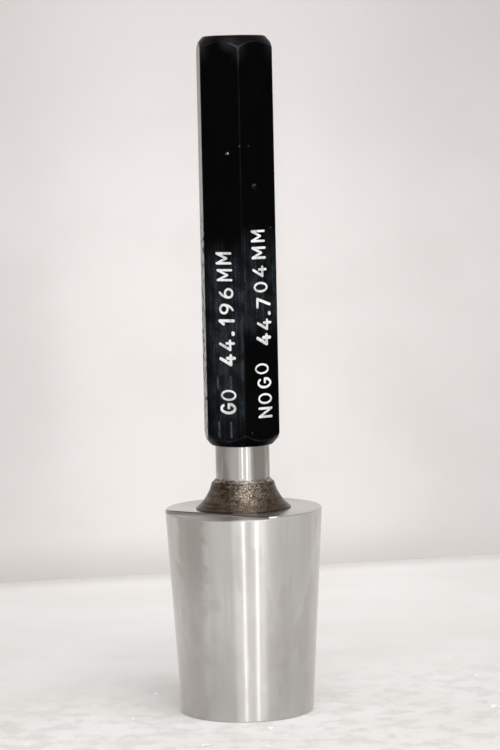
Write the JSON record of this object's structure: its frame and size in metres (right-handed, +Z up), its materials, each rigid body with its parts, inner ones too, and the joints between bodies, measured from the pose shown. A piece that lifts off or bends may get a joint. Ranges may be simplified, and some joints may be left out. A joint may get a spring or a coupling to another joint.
{
  "type": "taper plug gauge",
  "caption": "Hand gauge: ground steel taper plug with a stepped limit face and a hollow shoulder, its shank pressed into a black hexagonal handle.",
  "frame": {"origin": "centre of the plug's small end, on which the gauge stands", "axes": "+Z up along the gauge's axis, from the plug's small end to the handle's top; a corner of the hexagonal handle points along -Y, and the GO flat faces 30 degrees from -Y towards -X"},
  "size_m": [0.0342, 0.0342, 0.1471],
  "materials": {
    "ground_steel": "finely ground, with a brown unground shoulder",
    "black_anodised": "black anodised, satin, worn, with stamped white-filled lettering"
  },
  "bodies": {
    "root": {"gauge_plug": "ground_steel", "handle": "black_anodised"}
  },
  "joints": []
}
